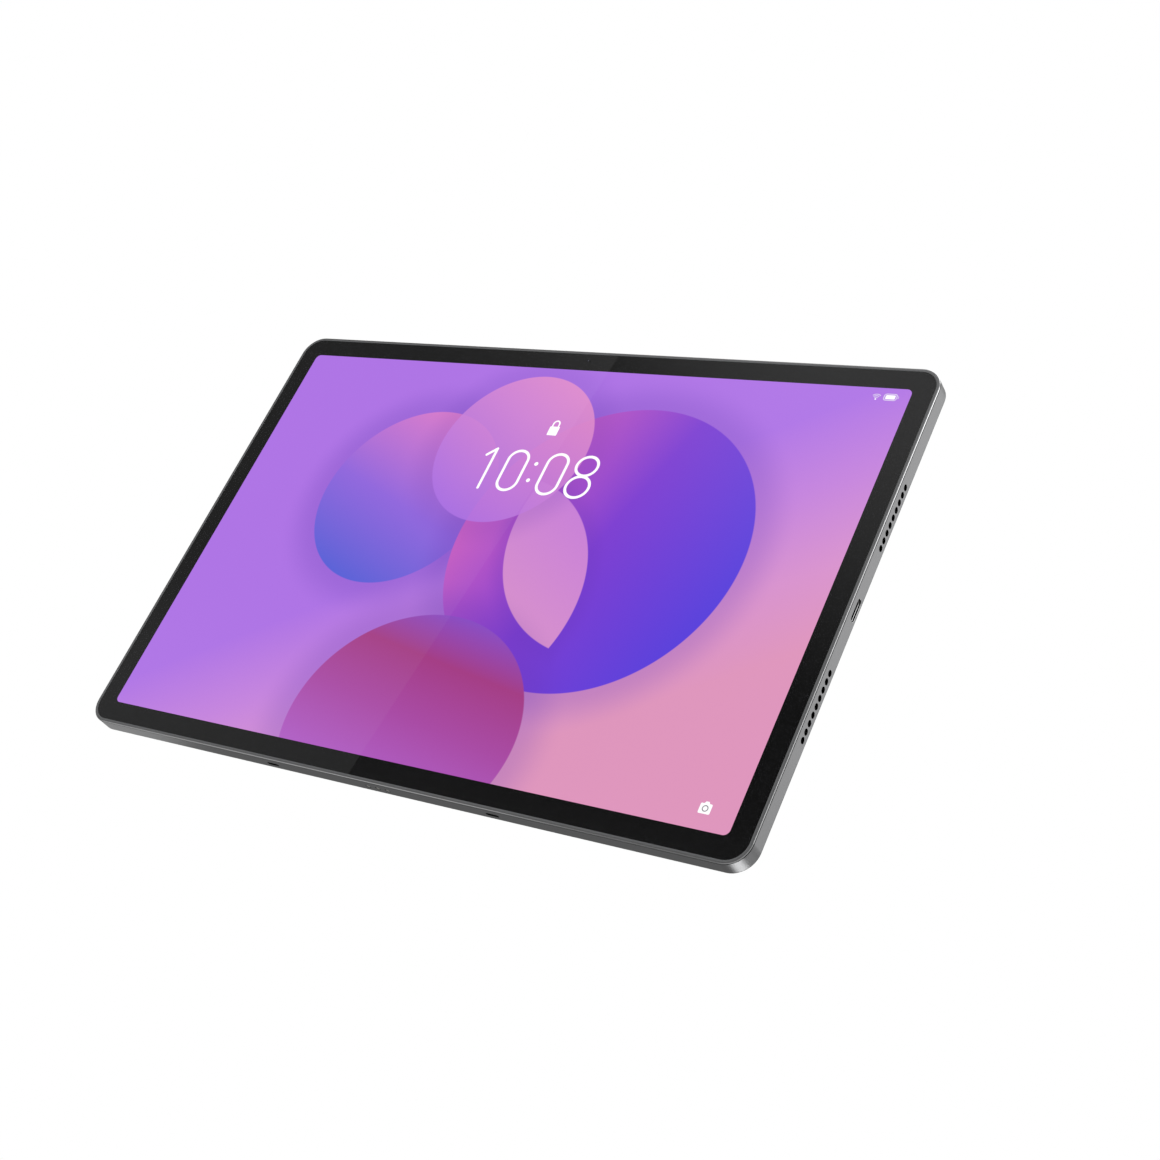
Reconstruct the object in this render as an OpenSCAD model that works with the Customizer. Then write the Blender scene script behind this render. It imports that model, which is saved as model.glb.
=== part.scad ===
// Slim 12.7-inch tablet computer, standing upright on its long bottom edge.
// X runs to the right as the screen is seen, Y from the glass to the back, Z up the screen.
// The origin is the middle of the flat bottom edge. All lengths are in millimetres.

/* [Body] */
// Width of the tablet across the long side
body_w = 291.8; // [285:0.1:300]
// Height of the tablet across the short side
body_h = 189.1; // [184:0.1:195]
// Thickness from the cover glass to the back, without the camera island
body_t = 6.9; // [6.8:0.1:8]
// Radius of the four outer corners, seen from the front
corner_r = 8.6; // [7:0.1:12]
// Thickness of the side walls of the housing
wall_t = 1.2; // [1.1:0.1:1.4]
// Thickness of the housing's back
back_t = 0.85; // [0.8:0.05:1]
// Size of the polished bevel round the back
back_bevel = 0.45; // [0.2:0.05:0.6]
// Size of the polished bevel on the metal ring round the glass
front_bevel = 0.2; // [0.15:0.05:0.25]

/* [Display] */
// Width of the lit picture
picture_w = 273.54; // [272:0.01:274]
// Height of the lit picture
picture_h = 170.96; // [169:0.01:171]
// Thickness of the cover glass
glass_t = 0.55; // [0.5:0.05:0.6]

/* [Edge features] */
// Distance of the ports and holes from the middle of the thickness, towards the back
edge_y = 0.3; // [0.2:0.05:0.35]
// Diameter of a speaker hole
hole_d = 2.3; // [1.2:0.1:2.4]
// Distance between neighbouring speaker holes
hole_pitch = 3.04; // [2.8:0.02:3.2]
// Number of holes in each speaker group
hole_count = 9; // [5:1:9]
// Distance of a speaker group from the middle of the side
speaker_offset = 36; // [35:0.5:37]
// Height of the power button's middle on the left side
power_z = 168.5; // [166:0.5:169]
// Length of the power button
power_l = 13; // [10:0.5:14]
// Place of the volume rocker's middle along the top
volume_x = -112; // [-113:1:-111]
// Length of the volume rocker
volume_l = 24; // [22:0.5:24.5]
// Height of the card tray's middle on the left side
tray_z = 86.6; // [86:0.1:87]
// Distance of each docking slot from the middle of the bottom edge
dock_slot_x = 49.6; // [45:0.1:52]
// Distance between the docking contacts
contact_pitch = 4.4; // [4:0.1:4.6]

/* [Rear camera] */
// Place of the camera island's middle across the back
island_x = -116.85; // [-118:0.05:-116]
// Height of the camera island's middle
island_z = 165.7; // [163:0.1:166]
// Width of the camera island
island_w = 45; // [43:0.1:46]
// Height of the camera island
island_h = 31.3; // [30:0.1:33]
// How far the island stands out of the back
island_rise = 0.9; // [0.6:0.05:1.2]
// Distance of the lens and the flash from the island's middle
island_spread = 9.85; // [9.5:0.05:10]

/* [Hidden] */
$fn = 64;

// Faces of the body
side_x = body_w / 2;
mid_z = body_h / 2;
front_y = -body_t / 2;
back_y = body_t / 2;
inner_back_y = back_y - back_t;
inner_side_x = side_x - wall_t;
inner_top_z = body_h - wall_t;

// Display stack, from the glass backwards
glass_y = front_y + glass_t;
bond_t = 0.1;
lcd_y = glass_y + bond_t;
lcd_t = 0.55;
light_y = lcd_y + lcd_t;
light_t = 0.73;
plate_y = light_y + light_t;
plate_t = 0.12;
display_back_y = plate_y + plate_t;
module_margin = 1.6;
glass_inset = 1.3;
gasket_w = 0.66;
ring_front_y = front_y + 0.1;
shelf_y = glass_y + 0.08;
shelf_w = 2;
split_y = shelf_y + 0.17;
front_groove_y = [ring_front_y + front_bevel + 0.05, ring_front_y + front_bevel + 0.35];
front_groove_depth = 0.25;
back_groove_y = [back_y - back_bevel - 0.17, back_y - back_bevel - 0.06];
back_groove_depth = 0.08;

// Battery, boards and their supports
cell_front_y = -0.9;
tape_t = 0.1;
cell_back_y = inner_back_y - tape_t;
cell_z = [13.5, 111.5];
cell_x = [1.6, 114];
board_y = [0.95, 1.75];
board_x = [-88, 62];
board_z = [121, 178];
screw_shank_r = 0.65;
screw_head_r = 1.3;
boss_r = 1.6;
boss_bore_r = 0.72;
main_screws = [for (x = [-84, 58], z = [125, 174]) [x, z]];
card_screws = [for (z = [79.3, 97]) [-118.6, z]];
usb_screws = [for (z = [82.5, 106.5]) [121, z]];
card_board_y = [1.55, 2.15];
usb_board_y = [1.9, 2.35];

// Buttons
button_w = 2.1;
button_gap = 0.12;
button_rise = 0.15;
flange_gap = 0.1;
flange_t = 0.5;
flange_lip = 0.8;
nub_r = 0.7;
nub_l = 0.5;
dome_r = 1.6;
dome_t = 0.35;
press_gap = 0.35;
volume_flange_gap = 0.25;
volume_press_gap = 0.2;
key_flex_t = 0.15;
bracket_t = 0.4;
volume_nub_x = 8;
pivot_r = 0.5;

// Card tray and its ejector
tray_l = 18.1;
tray_w = 2;
tray_gap = 0.1;
tray_face_t = 1;
carrier_z = [tray_z - 5.2, tray_z + 8.2];
carrier_y = [edge_y - 0.65, edge_y + 0.65];
carrier_end_x = -124.8;
rod_z = tray_z - 7.3;
rod_r = 0.45;
rod_x = [-143.8, -120.75];
pin_hole_r = 0.5;
cage_x = [-143.5, -121.6];
cage_z = [carrier_z[0] - 1.2, carrier_z[1] + 1.4];
cage_y = [edge_y - 1.2, card_board_y[0]];
lever_x = -120.2;
lever_z = rod_z + 4.7;
lever_pin_r = 0.45;

// USB-C receptacle
usb_l = 8.94;
usb_w = 3.2;
usb_wall = 0.3;
// The housing's wall has a narrower opening, and the shell stands just behind it
usb_lip = 0.65;
usb_x = [137.6, side_x - usb_lip - 0.05];
usb_y = edge_y + 0.6;

// Speakers
speaker_x = [119, 143.2];
speaker_l = 36.5;
speaker_y = [-1.1, inner_back_y];
row_l = (hole_count - 1) * hole_pitch;
hole_y = edge_y + 0.15;

// Rear camera
lens_x = island_x - island_spread + 0.8;
flash_x = island_x + island_spread + 0.8;
lens_z = island_z + 0.6;
island_top_y = back_y + island_rise;
island_r = 4.6;
lens_hole_r = 6.3;
flash_hole_r = 7;

// ---- Shapes ------------------------------------------------------------------------------

// Rectangle with round corners, about the origin
module rounded(w, h, r) {
    square([w - 2 * r, h], center = true);
    square([w, h - 2 * r], center = true);
    for (x = [-1, 1], y = [-1, 1])
        translate([x * (w / 2 - r), y * (h / 2 - r)]) circle(r);
}

// Oblong with round ends, about the origin
module oblong(l, w) {
    square([l - w, w], center = true);
    for (x = [-1, 1]) translate([x * (l - w) / 2, 0]) circle(d = w);
}

// Stands a flat drawing up: its own y becomes Z, and its thickness runs from y1 towards the glass
module stand(y1) {
    translate([0, y1, 0]) rotate([90, 0, 0]) children();
}

// Upright slab with round corners between y0 and y1, centred on [x, z]
module slab(w, h, r, y0, y1, x = 0, z = mid_z) {
    stand(y1) translate([x, z, 0]) linear_extrude(y1 - y0) rounded(w, h, r);
}

// Box from its two ends along X, Y and Z
module block(x, y, z) {
    translate([x[0], y[0], z[0]]) cube([x[1] - x[0], y[1] - y[0], z[1] - z[0]]);
}

// Upright cylinder along Y
module disc(r, y0, y1, x, z) {
    stand(y1) translate([x, z, 0]) cylinder(r = r, h = y1 - y0);
}

// Upright slab whose back and front edges are bevelled all round
module bevelled_slab(w, h, r, y0, y1, front = 0, back = 0, x = 0, z = mid_z) {
    t = y1 - y0;
    edge = function (reach) concat(
        back > 0 ? [[reach - back, 0], [reach, back]] : [[reach, 0]],
        front > 0 ? [[reach, t - front], [reach - front, t]] : [[reach, t]]);
    section = function (reach) concat(edge(reach),
        [for (p = [len(edge(reach)) - 1 : -1 : 0]) [-edge(reach)[p][0], edge(reach)[p][1]]]);
    stand(y1) translate([x, z, 0]) {
        rotate([90, 0, 0]) linear_extrude(h - 2 * r, center = true) polygon(section(w / 2));
        rotate([90, 0, 90]) linear_extrude(w - 2 * r, center = true) polygon(section(h / 2));
        for (i = [-1, 1], j = [-1, 1])
            translate([i * (w / 2 - r), j * (h / 2 - r), 0])
                rotate_extrude($fn = 128) polygon(concat([[0, 0]], edge(r), [[0, t]]));
    }
}

// Slab that follows the body's outline, a distance inside it
module body_slab(inset, y0, y1) {
    slab(body_w - 2 * inset, body_h - 2 * inset, corner_r - inset, y0, y1);
}

// Frame between two distances inside the body's outline
module body_frame(outer, inner, y0, y1) {
    difference() {
        body_slab(outer, y0, y1);
        body_slab(inner, y0 - 1, y1 + 1);
    }
}

// Oblong along Z, running through a side wall from x0 to x1
module side_oblong(l, w, x0, x1, z, y = edge_y) {
    translate([x0, y, z]) rotate([0, 90, 0]) linear_extrude(x1 - x0) oblong(l, w);
}

// Oblong along X, running through the top or bottom wall from z0 to z1
module edge_oblong(l, w, z0, z1, x, y = edge_y) {
    translate([x, y, z0]) linear_extrude(z1 - z0) oblong(l, w);
}

// Children on both sides of the tablet
module both_sides() {
    children();
    mirror([1, 0, 0]) children();
}

// Screw with its head on a board's front face
module screw(x, z, y) {
    difference() {
        disc(screw_head_r, y - 0.4, y, x, z);
        block([x - 0.8, x + 0.8], [y - 0.5, y - 0.25], [z - 0.12, z + 0.12]);
        block([x - 0.12, x + 0.12], [y - 0.5, y - 0.25], [z - 0.8, z + 0.8]);
    }
    disc(screw_shank_r, y - 0.1, inner_back_y + 0.3, x, z);
}

// Clearance holes for screws through a board
module screw_holes(places) {
    for (p = places) disc(0.8, -2, inner_back_y, p[0], p[1]);
}

// ---- Housing and display -----------------------------------------------------------------

module speaker_holes() {
    for (side = [-1, 1], group = [-1, 1], k = [0 : hole_count - 1])
        translate([side * (side_x - wall_t / 2), hole_y,
            mid_z + group * speaker_offset + (k - (hole_count - 1) / 2) * hole_pitch])
            rotate([0, 90, 0]) cylinder(d = hole_d, h = 2 * wall_t, center = true);
}

module boss(place, y0) {
    disc(boss_r, y0, inner_back_y + 0.1, place[0], place[1]);
}

module rear_housing() {
    color("#8b8c8f") difference() {
        union() {
            difference() {
                bevelled_slab(body_w, body_h, corner_r, split_y, back_y, back = back_bevel);
                body_slab(wall_t, split_y - 1, inner_back_y);
                body_frame(-1, back_groove_depth, back_groove_y[0], back_groove_y[1]);
            }
            for (p = main_screws) boss(p, board_y[1]);
            for (p = card_screws) boss(p, card_board_y[1]);
            for (p = usb_screws) boss(p, usb_board_y[1]);
            for (x = [-dock_slot_x, dock_slot_x])
                block([x - 4.5, x + 4.5], [edge_y - 1.8, edge_y + 1.8], [wall_t - 0.1, 3.6]);
        }
        for (p = concat(main_screws, card_screws, usb_screws))
            disc(boss_bore_r, board_y[1] - 1, inner_back_y + 0.4, p[0], p[1]);
        speaker_holes();
        side_oblong(usb_l - 0.24, usb_w - 2 * usb_wall, side_x - 3, side_x + 1, mid_z, usb_y);
        side_oblong(usb_l + 0.1, usb_w + 0.1, side_x - 3, side_x - usb_lip, mid_z, usb_y);
        side_oblong(tray_l + 2 * tray_gap, tray_w + 2 * tray_gap, -side_x - 1, -side_x + 3,
            tray_z);
        side_oblong(power_l + 2 * button_gap, button_w + 2 * button_gap, -side_x - 1,
            -side_x + 3, power_z);
        edge_oblong(volume_l + 2 * button_gap, button_w + 2 * button_gap, body_h - 3,
            body_h + 1, volume_x);
        for (x = [-36, 24]) translate([x, edge_y, body_h - 2]) cylinder(r = 0.5, h = 4);
        for (x = [-dock_slot_x, dock_slot_x]) edge_oblong(5.4, 1.6, -1, 2.4, x);
        for (k = [-1, 0, 1])
            translate([k * contact_pitch, edge_y, -1]) cylinder(r = 1.05, h = 4);
        slab(island_w + 0.1, island_h + 0.1, island_r + 0.05, inner_back_y - 0.5, back_y + 1,
            island_x, island_z);
        slab(15, 2.3, 0.5, back_y - 0.35, back_y + 1, 0, 166.1);
    }
}

module display_bezel_ring() {
    color("#9c9da0") difference() {
        bevelled_slab(body_w, body_h, corner_r, ring_front_y, split_y, front = front_bevel);
        body_slab(glass_inset - gasket_w - 0.04, ring_front_y - 1, shelf_y);
        body_slab(shelf_w, ring_front_y - 1, split_y + 1);
        body_frame(-1, front_groove_depth, front_groove_y[0], front_groove_y[1]);
    }
}

module glass_gasket() {
    color("#4a4b4e")
        body_frame(glass_inset - gasket_w, glass_inset - 0.02, front_y + 0.07, shelf_y);
}

module cover_glass() {
    color("#15161a", 0.5)
        bevelled_slab(body_w - 2 * glass_inset, body_h - 2 * glass_inset,
            corner_r - glass_inset, front_y, glass_y, front = 0.12);
}

module display_adhesive() {
    color("#1c1c1e") body_frame(glass_inset + 0.1, shelf_w - 0.05, glass_y, shelf_y);
}

// Slab a margin wider all round than the picture
module picture_slab(margin, y0, y1, r = 1) {
    slab(picture_w + 2 * margin, picture_h + 2 * margin, r, y0, y1);
}

module optical_adhesive() {
    color("#dfe8ee", 0.4) picture_slab(module_margin, glass_y, lcd_y);
}

module lcd_panel() {
    color("#7b55c7") picture_slab(module_margin, lcd_y, light_y);
}

module backlight_unit() {
    color("#f2f2ee") picture_slab(module_margin - 0.2, light_y, plate_y);
}

module display_back_plate() {
    color("#b9bcc0") difference() {
        picture_slab(module_margin, plate_y, display_back_y);
        for (x = [-90, -30, 30, 90], z = [40, 150])
            slab(24, 10, 2, plate_y - 1, display_back_y + 1, x, z);
    }
}

module display_driver_board() {
    color("#1f6b3a") {
        block([-60, 60], [display_back_y, display_back_y + 0.25], [6, 12]);
        for (x = [-48 : 16 : 48])
            block([x - 4, x + 4], [display_back_y + 0.2, display_back_y + 0.45], [8, 10.4]);
    }
}

module display_flex() {
    ribbon_y = [display_back_y + 0.05, display_back_y + 0.2];
    color("#c98a2b") {
        block([-1.2, 1.2], ribbon_y, [12, 125]);
        block([-1.2, 1.2], [ribbon_y[0], 0.6], [124.85, 125]);
        block([-4, 4], [0.4, board_y[0]], [125, 128]);
    }
}

// ---- Rear camera -------------------------------------------------------------------------

module camera_island() {
    color("#77787b") difference() {
        union() {
            bevelled_slab(island_w, island_h, island_r, inner_back_y - 0.1, island_top_y,
                back = 0.55, x = island_x, z = island_z);
            slab(island_w + 1.8, island_h + 1.8, island_r + 0.9, inner_back_y - 0.4,
                inner_back_y, island_x, island_z);
        }
        disc(lens_hole_r, 0, 6, lens_x, lens_z);
        disc(flash_hole_r, island_top_y - 0.5, 6, flash_x, lens_z);
        disc(flash_hole_r - 0.8, 0, 6, flash_x, lens_z);
    }
}

module camera_lens_ring() {
    top_y = island_top_y + 0.6;
    color("#b4b5b8") stand(0) translate([lens_x, lens_z, 0]) rotate_extrude() polygon([
        [5.35, -island_top_y + 0.2], [5.35, -island_top_y - 0.1],
        [5.75, -island_top_y - 0.1], [5.75, -top_y + 0.12], [5.87, -top_y],
        [6.5, -top_y], [6.75, -top_y + 0.25], [6.75, -island_top_y],
        [6.25, -island_top_y], [6.25, -inner_back_y + 0.2], [5.75, -inner_back_y + 0.2],
        [5.75, -island_top_y + 0.2]]);
}

module camera_window() {
    color("#08090b") disc(5.7, island_top_y + 0.1, island_top_y + 0.45, lens_x, lens_z);
}

module camera_can() {
    color("#8d8f92") difference() {
        union() {
            slab(10.5, 10.5, 0.8, -0.6, inner_back_y - 0.4, lens_x, lens_z);
            disc(5, inner_back_y - 0.5, back_y + 0.2, lens_x, lens_z);
        }
        disc(3.3, 0.2, 6, lens_x, lens_z);
    }
}

module camera_lens_barrel() {
    color("#1a1b1e") difference() {
        disc(3.2, 0.5, back_y + 0.5, lens_x, lens_z);
        stand(0) translate([lens_x, lens_z, -back_y - 0.51]) cylinder(r1 = 2.8, r2 = 1.5, h = 0.7);
    }
}

module camera_sensor_board() {
    color("#1f6b3a") {
        slab(11, 11, 0.5, -0.95, -0.6, lens_x, lens_z);
        block([lens_x + 5, board_x[0] + 4], [-0.95, -0.8], [lens_z - 3, lens_z + 3]);
        block([board_x[0] + 3.85, board_x[0] + 4], [-0.95, 0.6], [lens_z - 3, lens_z + 3]);
        block([board_x[0] + 1.5, board_x[0] + 6], [0.4, board_y[0]], [lens_z - 4, lens_z + 4]);
    }
}

module flash_lens() {
    color("#d9dadc", 0.8) disc(6.72, island_top_y - 0.5, island_top_y + 0.01, flash_x, lens_z);
}

module flash_ring() {
    color("#e6e7e9") difference() {
        disc(6.96, island_top_y - 0.5, island_top_y + 0.04, flash_x, lens_z);
        disc(6.75, island_top_y - 1, island_top_y + 1, flash_x, lens_z);
    }
}

module flash_led() {
    color("#e8d86a") {
        disc(7, inner_back_y - 0.7, inner_back_y - 0.4, flash_x, lens_z);
        slab(2.4, 2.4, 0.4, inner_back_y - 0.5, inner_back_y + 0.5, flash_x, lens_z);
    }
}

module inlay_strip() {
    color("#c4c5c8") slab(14.94, 2.24, 0.47, back_y - 0.35, back_y + 0.02, 0, 166.1);
}

// ---- Buttons -----------------------------------------------------------------------------

module power_button() {
    flange_x = -inner_side_x + flange_gap;
    color("#a3a4a7") {
        side_oblong(power_l, button_w, -side_x - button_rise + 0.12, flange_x + 0.1, power_z);
        side_oblong(power_l - 0.24, button_w - 0.24, -side_x - button_rise,
            -side_x - button_rise + 0.13, power_z);
        side_oblong(power_l + 2 * flange_lip, button_w + 2 * flange_lip - 0.6, flange_x,
            flange_x + flange_t, power_z);
        translate([flange_x + flange_t - 0.1, edge_y, power_z])
            rotate([0, 90, 0]) cylinder(r = nub_r, h = nub_l + 0.1);
    }
}

module volume_rocker() {
    flange_z = inner_top_z - volume_flange_gap;
    color("#a3a4a7") {
        edge_oblong(volume_l, button_w, flange_z - 0.1, body_h + button_rise - 0.12, volume_x);
        edge_oblong(volume_l - 0.24, button_w - 0.24, body_h + button_rise - 0.13,
            body_h + button_rise, volume_x);
        edge_oblong(volume_l + 2 * flange_lip, button_w + 2 * flange_lip - 0.6,
            flange_z - flange_t, flange_z, volume_x);
        for (x = [-volume_nub_x, volume_nub_x])
            translate([volume_x + x, edge_y, flange_z - flange_t - nub_l])
                cylinder(r = nub_r, h = nub_l + 0.1);
        translate([volume_x, edge_y - 1.2, pivot_z]) rotate([-90, 0, 0])
            cylinder(r = pivot_r, h = 2.4);
        block([volume_x - 0.35, volume_x + 0.35], [edge_y - 1.2, edge_y + 1.2],
            [pivot_z, flange_z - flange_t + 0.1]);
    }
}

// Inner faces of the key flex behind the power button and under the volume rocker
power_flex_x = -inner_side_x + flange_gap + flange_t + nub_l + press_gap + dome_t;
volume_flex_z = inner_top_z - volume_flange_gap - flange_t - nub_l - volume_press_gap - dome_t;
pivot_z = volume_flex_z + pivot_r + 0.02;

module key_domes() {
    color("#d0c9a8") {
        translate([power_flex_x - dome_t, edge_y, power_z])
            rotate([0, 90, 0]) cylinder(r1 = 0.8, r2 = dome_r, h = dome_t);
        for (x = [-volume_nub_x, volume_nub_x])
            translate([volume_x + x, edge_y, volume_flex_z])
                cylinder(r1 = dome_r, r2 = 0.8, h = dome_t);
    }
}

module key_flex() {
    color("#c98a2b") {
        block([power_flex_x, power_flex_x + key_flex_t], [-1.2, 1.8],
            [power_z - 8, power_z + 8.5]);
        block([volume_x - 12, volume_x + 12], [-1.2, 1.8],
            [volume_flex_z - key_flex_t, volume_flex_z]);
        stand(1.8) linear_extrude(0.15) polygon([
            [power_flex_x, power_z + 5], [power_flex_x, power_z + 8.5], [-136.5, 184.6],
            [volume_x - 12, volume_flex_z], [volume_x - 12, volume_flex_z - 1.6],
            [-135, 182.4], [power_flex_x + 1.6, power_z + 8], [power_flex_x + 1.6, power_z + 5]]);
    }
}

module key_brackets() {
    power_x = power_flex_x + key_flex_t;
    volume_z = volume_flex_z - key_flex_t;
    color("#b0b3b7") {
        block([power_x, power_x + bracket_t], [-1.2, inner_back_y - 1.1],
            [power_z - 7, power_z + 4.5]);
        block([power_x, power_x + 2.2], [inner_back_y - 1.2, inner_back_y],
            [power_z - 7, power_z - 3]);
        block([volume_x - 11, volume_x + 12], [-1.2, inner_back_y - 1.1],
            [volume_z - bracket_t, volume_z]);
        block([volume_x + 6, volume_x + 12], [inner_back_y - 1.2, inner_back_y],
            [volume_z - 2, volume_z]);
    }
}

// ---- Card tray and ejector ---------------------------------------------------------------

module card_tray() {
    color("#939497") difference() {
        union() {
            side_oblong(tray_l, tray_w, -side_x, -side_x + tray_face_t, tray_z);
            block([-side_x + tray_face_t - 0.1, carrier_end_x], carrier_y, carrier_z);
        }
        block([carrier_end_x - 16.9, carrier_end_x - 1.5], [carrier_y[0] - 1, carrier_y[1] - 0.25],
            [carrier_z[0] + 1, carrier_z[1] - 1]);
        block([carrier_end_x - 16, carrier_end_x - 2.4], [carrier_y[0] - 1, carrier_y[1] + 1],
            [carrier_z[0] + 1.8, carrier_z[1] - 1.8]);
        translate([-side_x - 1, edge_y, rod_z]) rotate([0, 90, 0]) cylinder(r = pin_hole_r, h = 4);
    }
}

module tray_gasket() {
    x = [-side_x + tray_face_t, -side_x + tray_face_t + 0.5];
    color("#c0392b") difference() {
        block(x, [carrier_y[0] - 0.3, carrier_y[1] + 0.3], [carrier_z[0] - 0.3, carrier_z[1] + 0.3]);
        block([x[0] - 1, x[1] + 1], carrier_y, carrier_z);
    }
}

module card_socket() {
    color("#c3c5c8") difference() {
        union() {
            block(cage_x, cage_y, cage_z);
            block([cage_x[1] - 0.1, lever_x + 2], [card_board_y[0] - 0.25, card_board_y[0]],
                [lever_z - 2, lever_z + 2]);
            disc(lever_pin_r, carrier_y[0] - 0.1, card_board_y[0] - 0.1, lever_x, lever_z);
            for (x = [-138, -126])
                block([x, x + 2], [edge_y - 0.75, edge_y + 0.75], [rod_z - 0.75, cage_z[0] + 0.1]);
        }
        translate([-139, edge_y, rod_z]) rotate([0, 90, 0]) cylinder(r = rod_r + 0.05, h = 16);
        block([cage_x[0] - 1, cage_x[1] - 0.4], [cage_y[0] + 0.25, cage_y[1] - 0.25],
            [cage_z[0] + 0.5, cage_z[1] - 0.5]);
        block([cage_x[1] - 1, cage_x[1] + 0.1], [cage_y[0] + 0.25, cage_y[1] - 0.25],
            [lever_z + 1.4, lever_z + 6]);
    }
}

module card_board() {
    color("#1f6b3a") difference() {
        union() {
            block([-143, -116.6], card_board_y, [77.2, 99]);
            block([-116.7, -114.6], [card_board_y[0], card_board_y[0] + 0.15], [86, 155]);
            block([-114.7, board_x[0]], [card_board_y[0], card_board_y[0] + 0.15], [152.2, 155]);
        }
        screw_holes(card_screws);
    }
}

module eject_rod() {
    color("#d2d3d5") {
        translate([rod_x[0], edge_y, rod_z]) rotate([0, 90, 0])
            cylinder(r = rod_r, h = rod_x[1] - rod_x[0]);
        translate([rod_x[0], edge_y, rod_z]) rotate([0, 90, 0]) cylinder(r = 0.75, h = 0.5);
    }
}

module eject_lever() {
    y = [edge_y - 0.5, edge_y + 0.5];
    color("#d2d3d5") difference() {
        union() {
            block([lever_x - 0.4, lever_x + 0.4], y, [rod_z - 0.8, lever_z + 4.4]);
            disc(1.1, y[0], y[1], lever_x, lever_z);
            block([lever_x - 3, lever_x], y, [lever_z + 3.6, lever_z + 4.4]);
        }
        disc(lever_pin_r + 0.05, y[0] - 1, y[1] + 1, lever_x, lever_z);
    }
}

// ---- Ports -------------------------------------------------------------------------------

module usb_c_shell() {
    color("#c9cbce") difference() {
        side_oblong(usb_l, usb_w, usb_x[0], usb_x[1], mid_z, usb_y);
        side_oblong(usb_l - 2 * usb_wall, usb_w - 2 * usb_wall, usb_x[0] + 0.3, usb_x[1] + 1,
            mid_z, usb_y);
    }
}

module usb_c_tongue() {
    base_x = [usb_x[0] + 0.3, usb_x[0] + 1.9];
    color("#1b1c1f") {
        side_oblong(usb_l - 2 * usb_wall - 0.04, usb_w - 2 * usb_wall - 0.04, base_x[0],
            base_x[1], mid_z, usb_y);
        block([base_x[1] - 0.1, usb_x[1] - 0.88], [usb_y - 0.35, usb_y + 0.35],
            [mid_z - 3.35, mid_z + 3.35]);
    }
}

module usb_board() {
    color("#1f6b3a") difference() {
        union() {
            block([118, 143.5], usb_board_y, [79.5, 109.5]);
            block([125, 131], [0.9, usb_board_y[0] + 0.05], [98, 104]);
            block([126, 134], [1.2, usb_board_y[0] + 0.05], [84, 90]);
        }
        screw_holes(usb_screws);
        side_oblong(usb_l, usb_w, usb_x[0], side_x, mid_z, usb_y);
    }
}

module dock_contacts() {
    color("#d8b45a") for (k = [-1, 0, 1])
        translate([k * contact_pitch, edge_y, 0.05]) cylinder(r = 0.74, h = 3);
}

module dock_contact_carrier() {
    color("#202124") difference() {
        union() {
            edge_oblong(14, 2.8, wall_t, 3.4, 0);
            for (k = [-1, 0, 1])
                translate([k * contact_pitch, edge_y, 0.05]) cylinder(r = 1, h = wall_t);
        }
        for (k = [-1, 0, 1])
            translate([k * contact_pitch, edge_y, -1]) cylinder(r = 0.76, h = 5);
    }
}

module dock_flex() {
    color("#c98a2b") {
        block([-6, 6], [edge_y - 0.8, edge_y + 0.8], [3.4, 3.55]);
        block([-1.2, 1.2], [edge_y - 0.08, edge_y + 0.07], [3.5, 124]);
        block([-3, 3], [edge_y - 0.1, board_y[0]], [121.5, 124.4]);
    }
}

module dock_magnets() {
    color("#b7bac0") for (x = [-72, -28, 28, 72])
        block([x - 8, x + 8], [-0.8, 1.6], [wall_t, 5]);
}

// Speaker box for the right side, with its sound outlet towards the wall
module speaker(z) {
    color("#2b2c2f") difference() {
        union() {
            slab(speaker_x[1] - speaker_x[0], speaker_l, 1.5, speaker_y[0], speaker_y[1],
                (speaker_x[0] + speaker_x[1]) / 2, z);
            side_oblong(row_l + 4, 3.1, speaker_x[1] - 1, speaker_x[1] + 1, z);
        }
        side_oblong(row_l + 2.4, 2, speaker_x[1] - 3, speaker_x[1] + 2, z);
        slab(15, 23, 3, speaker_y[0] - 1, speaker_y[0] + 0.25, speaker_x[0] + 10, z);
    }
    color("#55565a")
        slab(14.6, 22.6, 2.8, speaker_y[0] + 0.1, speaker_y[0] + 0.26, speaker_x[0] + 10, z);
}

module speaker_upper_right() { speaker(mid_z + speaker_offset); }
module speaker_lower_right() { speaker(mid_z - speaker_offset); }
module speaker_upper_left() { mirror([1, 0, 0]) speaker(mid_z + speaker_offset); }
module speaker_lower_left() { mirror([1, 0, 0]) speaker(mid_z - speaker_offset); }

module speaker_dust_mesh() {
    color("#0e0e10") both_sides() for (group = [-1, 1])
        side_oblong(row_l + 3.4, 2.8, speaker_x[1] + 1, inner_side_x,
            mid_z + group * speaker_offset);
}

module microphones() {
    color("#c8cacd") for (x = [-36, 24]) difference() {
        block([x - 2, x + 2], [-0.9, 1.5], [186.1, inner_top_z]);
        translate([x, edge_y, 187]) cylinder(r = 0.5, h = 2);
    }
}

// ---- Front camera and sensor -------------------------------------------------------------

module front_camera_module() {
    color("#2a2b2e") difference() {
        slab(5.2, 4.5, 0.4, glass_y, 0.5, 0, 184.75);
        disc(1.6, glass_y - 1, -1.4, 0, 184.8);
    }
}

module front_camera_lens() {
    color("#0a0a14") disc(1.5, glass_y + 0.05, -1.4, 0, 184.8);
}

module light_sensor() {
    color("#3a3b40") {
        block([10, 12.4], [glass_y, -2], [184, 185.6]);
        block([10.4, 12], [-2.1, board_y[0]], [184.6, 184.8]);
        block([10.4, 12], [board_y[0] - 0.2, board_y[0]], [176, 184.8]);
    }
}

// ---- Boards, battery and cables ----------------------------------------------------------

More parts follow.
